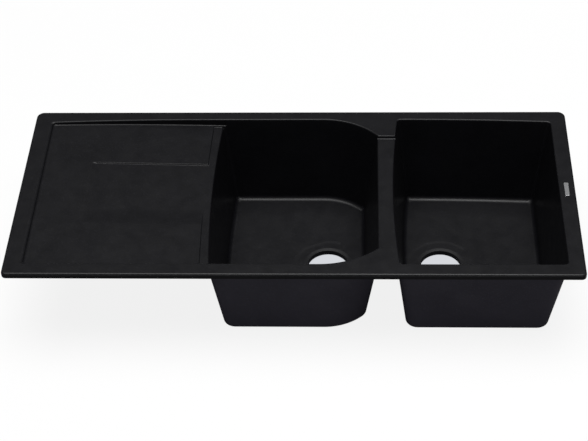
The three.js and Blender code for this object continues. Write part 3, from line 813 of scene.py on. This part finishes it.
# The nylon plug: a sleeve with saw-tooth barbs, slotted so that it can spread in the lug, over a flange
def makePlug():
    r, bore, top, chamfer = plug["radius"], plug["bore"], plug["top"], plug["chamfer"]
    flangeTop, edge, soft = plug["flangeTop"], plug["flangeRadius"], plug["flangeRound"]
    foot, tip = flangeTop - plug["flange"], r - plug["tipTaper"]
    profile = [(bore, top - chamfer), (bore + chamfer, top), (tip - chamfer, top), (tip, top - chamfer)]
    for z in plug["barbs"]:
        profile += [(r - inside, z + rise) for inside, rise in plug["barb"]]
    profile += [(r, flangeTop + plug["neck"]), (r, flangeTop + chamfer), (r + chamfer, flangeTop)]
    profile += [(edge - soft, flangeTop), (edge, flangeTop - soft), (edge, foot + soft),
                (edge - soft, foot), (bore + chamfer, foot), (bore, foot + chamfer)]
    sleeve = turned("nylon_plug", profile, segments=48, looped=True)
    half, slotFoot = plug["slot"] / 2, plug["slotFoot"]
    slot = loft("plug_slot", [[(-half, -r - 1, z), (half, -r - 1, z), (half, r + 1, z), (-half, r + 1, z)]
                              for z in (slotFoot, top + 1)])
    return smoothed(combine(sleeve, [slot], "DIFFERENCE"), 30, 0.001)


screw = {"crest": 2, "root": 1.5, "pitch": 1.6, "flank": 3.2, "valley": 0.25, "top": -12, "threadFoot": 1.2,
         "point": 2.4, "pointShare": 0.6, "rows": 96, "segments": 36,
         "neck": ((1.75, 0.9), (1.95, 0.25), (2.0, 0)),  # radius, above the head
         "headTop": -25.9, "headRadius": 4.2, "headHeight": 2.4, "headEdge": 0.2,
         "pan": ((0, 1.35), (0.15, 0.8), (0.55, 0.3), (1.1, 0.06), (1.7, 0)),  # narrower by, above the foot
         "crossReach": 2.15, "crossHalf": 0.5, "crossDepth": 1.5, "crossTaper": (0.55, 0.7),
         "crossClear": 0.5}


# The screw: a coarse thread that winds up from the head to a blunt point, over a pan head with a cross recess
def makeScrew():
    root, pitch, top, headTop = screw["root"], screw["pitch"], screw["top"], screw["headTop"]
    angles = [2 * math.pi * i / screw["segments"] for i in range(screw["segments"])]

    def ridge(z, a):
        phase = (z / pitch - a / (2 * math.pi)) % 1
        height = min(1, max(0, (0.5 - abs(phase - 0.5)) * screw["flank"] - screw["valley"]))
        point = min(1, (top - z) / screw["point"])
        return blendOf(root * screw["pointShare"], root, point) + height * (screw["crest"] - root) * point
    rings = []
    for t in steps(screw["rows"]):
        z = blendOf(top, headTop + screw["threadFoot"], t)
        rings.append([(ridge(z, a) * math.cos(a), ridge(z, a) * math.sin(a), z) for a in angles])
    head, foot, soft = screw["headRadius"], headTop - screw["headHeight"], screw["headEdge"]
    profile = [(radius, headTop + rise) for radius, rise in screw["neck"]]
    profile += [(head - soft, headTop), (head, headTop - soft)]
    profile += [(head - narrower, foot + rise) for narrower, rise in screw["pan"]]
    for radius, z in profile:
        rings.append([(radius * math.cos(a), radius * math.sin(a), z) for a in angles])
    shank = loft("clamping_screw", rings)

    def cross(reach, half, z):
        quarter = [(half, -half), (reach, -half), (reach, half)]
        turns = [Matrix.Rotation(k * math.pi / 2, 2) for k in range(4)]
        return [(*(turning @ Vector(p)), z) for turning in turns for p in quarter]
    reach, half, (narrower, thinner) = screw["crossReach"], screw["crossHalf"], screw["crossTaper"]
    recess = loft("cross_recess", [cross(reach, half, foot - screw["crossClear"]), cross(reach, half, foot),
                                   cross(reach * narrower, half * thinner, foot + screw["crossDepth"])])
    return smoothed(combine(shank, [recess], "DIFFERENCE"), 34, 0.001)


arm = {"thickness": 2, "width": 10, "top": -23.6, "hole": 2.3,
       "base": 12, "run": 6, "legHalf": 1, "drop": 18,  # the leg slopes down from base over its run
       "reach": 32, "tooth": 3, "bend": 1.6, "toothBend": 0.8, "cornerRadius": 1.2, "endFlat": 0.1,
       "notches": (-0.67, 0, 0.67), "notchHalf": 1.1, "notchDepth": 1.3, "notchClear": 0.1,
       "overlap": 0.03}


# The arm: a strip of steel pressed to round bends, with a toe turned up and notched to bite under the
# worktop. The bent strip is a little longer and wider than the plan that trims it, so that no faces coincide.
def makeArm():
    t, half, drop, reach = arm["thickness"], arm["width"] / 2, arm["drop"], arm["reach"]
    base, top, bend, leg = arm["base"], arm["top"], arm["bend"], arm["legHalf"]
    toe, longer, tip = base + arm["run"], reach + arm["overlap"], arm["tooth"] - drop
    side = roundCorners([
        (-half - 1, 0, 0), (-half - 1, -t, 0), (base - leg, -t, bend), (toe - leg, -drop - t, bend + t),
        (longer, -drop - t, bend), (longer, tip, 0), (reach - t, tip, 0),
        (reach - t, -drop, arm["toothBend"]),
        (toe + leg, -drop, bend), (base + leg, 0, bend + t)], 6)
    strip = loft("steel_arm", [[(p.x, y, p.y + top) for p in side] for y in (-half - 1, half + 1)])
    endRadius, corner = half - arm["endFlat"] / 2, arm["cornerRadius"]
    plan = roundCorners([(-half, -half, endRadius), (reach, -half, corner), (reach, half, corner),
                         (-half, half, endRadius)], 12)
    trim = loft("arm_plan", [raised(plan, top + 1), raised(plan, top - drop - t - 1)])
    strip = combine(strip, [trim], "INTERSECT")
    cuts = [turned("arm_hole", [(arm["hole"], top + 1), (arm["hole"], top - t - 1)], segments=32)]
    wide, above, deep = arm["notchHalf"], top + tip + arm["notchClear"], top + tip - arm["notchDepth"]
    for y in (half * share for share in arm["notches"]):
        cuts.append(loft("toe_notch", [[(x, y - wide, above), (x, y, deep), (x, y + wide, above)]
                                       for x in (reach - t - 1, reach + 1)]))
    return smoothed(combine(strip, cuts, "DIFFERENCE"), 30, 0.001)


def placedCopy(master, name, place):
    x, y, parked = place
    mesh = master.data.copy()
    turning = Matrix.Rotation(math.radians(parked), 4, "Z")
    mesh.transform(Matrix.Translation((x / 1000, y / 1000, 0)) @ turning)
    piece = master.copy()
    piece.name, piece.data = name, mesh
    scene.collection.objects.link(piece)
    return piece


plugMaster, screwMaster, armMaster = makePlug(), makeScrew(), makeArm()
for number, place in enumerate(clipPlaces, 1):
    finishPiece(placedCopy(plugMaster, f"nylon_plug_{number}", place), nylon,
                "sink", "nylon", f"clip_plug_{number}")
    finishPiece(placedCopy(screwMaster, f"clamping_screw_{number}", place), screwSteel,
                f"screw_{number}", "screw_steel", f"clip_screw_{number}")
    finishPiece(placedCopy(armMaster, f"steel_arm_{number}", place), armSteel,
                f"arm_{number}", "arm_steel", f"clip_arm_{number}")
for master in (plugMaster, screwMaster, armMaster):
    bpy.data.objects.remove(master)
print("clips made:", len(clipPlaces))


# Studio: a white floor, a broad sky and a softbox overhead, a low softbox on each side for the outer walls,
# and a dim surround. The floor shows white but bounces less light than that, which keeps the walls dark.
studio = {
    "floor": "#ffffff", "bounce": "#626262", "floorSize": 24, "floorGlow": 0.86,
    # painted shade: darker floor colours, painted under each waste hole in place of the shade there
    "shade": "#d6d8dd", "shadeBounce": "#58585c", "shadeRadius": (0.055, 0.08),  # under each waste hole
    "background": "#ffffff", "surround": 0.12,
    "sky": {"place": (0, 0.1, 3), "target": (0, 0.02, 0), "strength": 2.2, "degrees": 48},
    "softboxes": (  # name, place, target, size and watts
        ("overhead_softbox", (0.3, -0.3, 2.3), (0.3, -0.2, 0), (1.6, 1.0), 12),
        ("low_front_softbox", (0.1, -2.3, 0.12), (0.1, 0, 0.1), (2.4, 0.3), 5),
        ("low_back_softbox", (0.1, 2.3, 0.12), (0.1, 0, 0.1), (2.4, 0.3), 5),
        ("low_left_softbox", (-2.6, 0, 0.12), (0, 0, 0.1), (1.6, 0.3), 4),
        ("low_right_softbox", (2.6, 0, 0.12), (0, 0, 0.1), (1.6, 0.3), 4),
    ),
}


def makeFloor():
    half = studio["floorSize"] / 2
    corners = [(-half, -half, 0), (half, -half, 0), (half, half, 0), (-half, half, 0)]
    mesh = bpy.data.meshes.new("floor")
    mesh.from_pydata(corners, [], [(0, 1, 2, 3)])
    floor = bpy.data.objects.new("floor", mesh)
    scene.collection.objects.link(floor)
    material, tree, place = newMaterial("white_studio_floor")
    seen = addNode(tree, "LightPath")
    # painted shade: under each waste hole the floor's colour is painted darker, standing in for the shade
    # there, where only the light through the hole falls
    away = [addNode(tree, "VectorMath", {"operation": "DISTANCE"}, {0: place, 1: (x / 1000, y / 1000, 0.0)})
            for x, y in (waste["left"], waste["right"])]
    nearest = addNode(tree, "Math", {"operation": "MINIMUM"}, {
        i: node.outputs["Value"] for i, node in enumerate(away)})
    inner, outer = studio["shadeRadius"]
    under = addNode(tree, "MapRange", inputs={
        "Value": nearest.outputs[0], "From Min": inner, "From Max": outer, "To Min": 1.0, "To Max": 0.0})
    bounce = addNode(tree, "Mix", {"data_type": "RGBA"}, {
        0: under.outputs[0], 6: hexColour(studio["bounce"]), 7: hexColour(studio["shadeBounce"])})
    surface = addNode(tree, "Mix", {"data_type": "RGBA"}, {
        0: under.outputs[0], 6: hexColour(studio["floor"]), 7: hexColour(studio["shade"])})
    paint = addNode(tree, "Mix", {"data_type": "RGBA"}, {
        0: seen.outputs["Is Camera Ray"], 6: bounce.outputs[2], 7: surface.outputs[2]})
    lit = addNode(tree, "BsdfDiffuse", inputs={"Color": paint.outputs[2]})
    glow = addNode(tree, "Emission", inputs={"Color": surface.outputs[2], "Strength": 1.0})
    share = addNode(tree, "Math", {"operation": "MULTIPLY"}, {
        0: seen.outputs["Is Camera Ray"], 1: studio["floorGlow"]})
    finishMaterial(tree, addNode(tree, "MixShader", inputs={
        0: share.outputs[0], 1: lit.outputs[0], 2: glow.outputs[0]}))
    mesh.materials.append(material)


def makeWorld():
    world = bpy.data.worlds.new("studio_surround")
    scene.world = world
    world.use_nodes = True
    tree = world.node_tree
    tree.nodes.clear()
    seen = addNode(tree, "LightPath")
    white = hexColour(studio["background"])
    dim = addNode(tree, "Background", inputs={"Color": white, "Strength": studio["surround"]})
    backdrop = addNode(tree, "Background", inputs={"Color": white, "Strength": 1.0})
    mixed = addNode(tree, "MixShader", inputs={
        0: seen.outputs["Is Camera Ray"], 1: dim.outputs[0], 2: backdrop.outputs[0]})
    addNode(tree, "OutputWorld", inputs={"Surface": mixed.outputs[0]})


def addLamp(name, kind, place, target, strength):
    light = bpy.data.lights.new(name, kind)
    light.energy = strength
    lamp = bpy.data.objects.new(name, light)
    lamp.location = place
    lamp.rotation_euler = (Vector(target) - Vector(place)).to_track_quat("-Z", "Y").to_euler()
    lamp.visible_camera = False
    scene.collection.objects.link(lamp)
    return light


def makeLamps():
    sky = studio["sky"]
    sun = addLamp("overhead_sky", "SUN", sky["place"], sky["target"], sky["strength"])
    sun.angle = math.radians(sky["degrees"])
    for name, place, target, size, watts in studio["softboxes"]:
        light = addLamp(name, "AREA", place, target, watts)
        light.shape = "RECTANGLE"
        light.size, light.size_y = size


makeFloor()
makeWorld()
makeLamps()
print("studio lit")


# Camera: the photograph's viewpoint, worked out from the rim's four corners. Turn, dip and roll are in
# degrees, and the focal length and the frame's width are in pixels.
view = {"place": (0.1453, -2.442, 2.450), "turn": -3.539, "dip": 43.499, "roll": 2.364,
        "focal": 1582.5, "frame": 588, "sensor": 36}


def makeCamera():
    turn, dip, roll = (math.radians(view[k]) for k in ("turn", "dip", "roll"))
    ahead = Vector((math.sin(turn) * math.cos(dip), math.cos(turn) * math.cos(dip), -math.sin(dip)))
    right = Vector((math.cos(turn), -math.sin(turn), 0))
    down = ahead.cross(right)
    imageRight = right * math.cos(roll) + down * math.sin(roll)
    imageDown = down * math.cos(roll) - right * math.sin(roll)
    lens = bpy.data.cameras.new("camera")
    lens.sensor_width = view["sensor"]
    lens.lens = view["focal"] / view["frame"] * view["sensor"]
    camera = bpy.data.objects.new("camera", lens)
    camera.matrix_world = Matrix((
        (imageRight.x, -imageDown.x, -ahead.x, view["place"][0]),
        (imageRight.y, -imageDown.y, -ahead.y, view["place"][1]),
        (imageRight.z, -imageDown.z, -ahead.z, view["place"][2]),
        (0, 0, 0, 1)))
    scene.collection.objects.link(camera)
    scene.camera = camera


makeCamera()
print("camera placed")
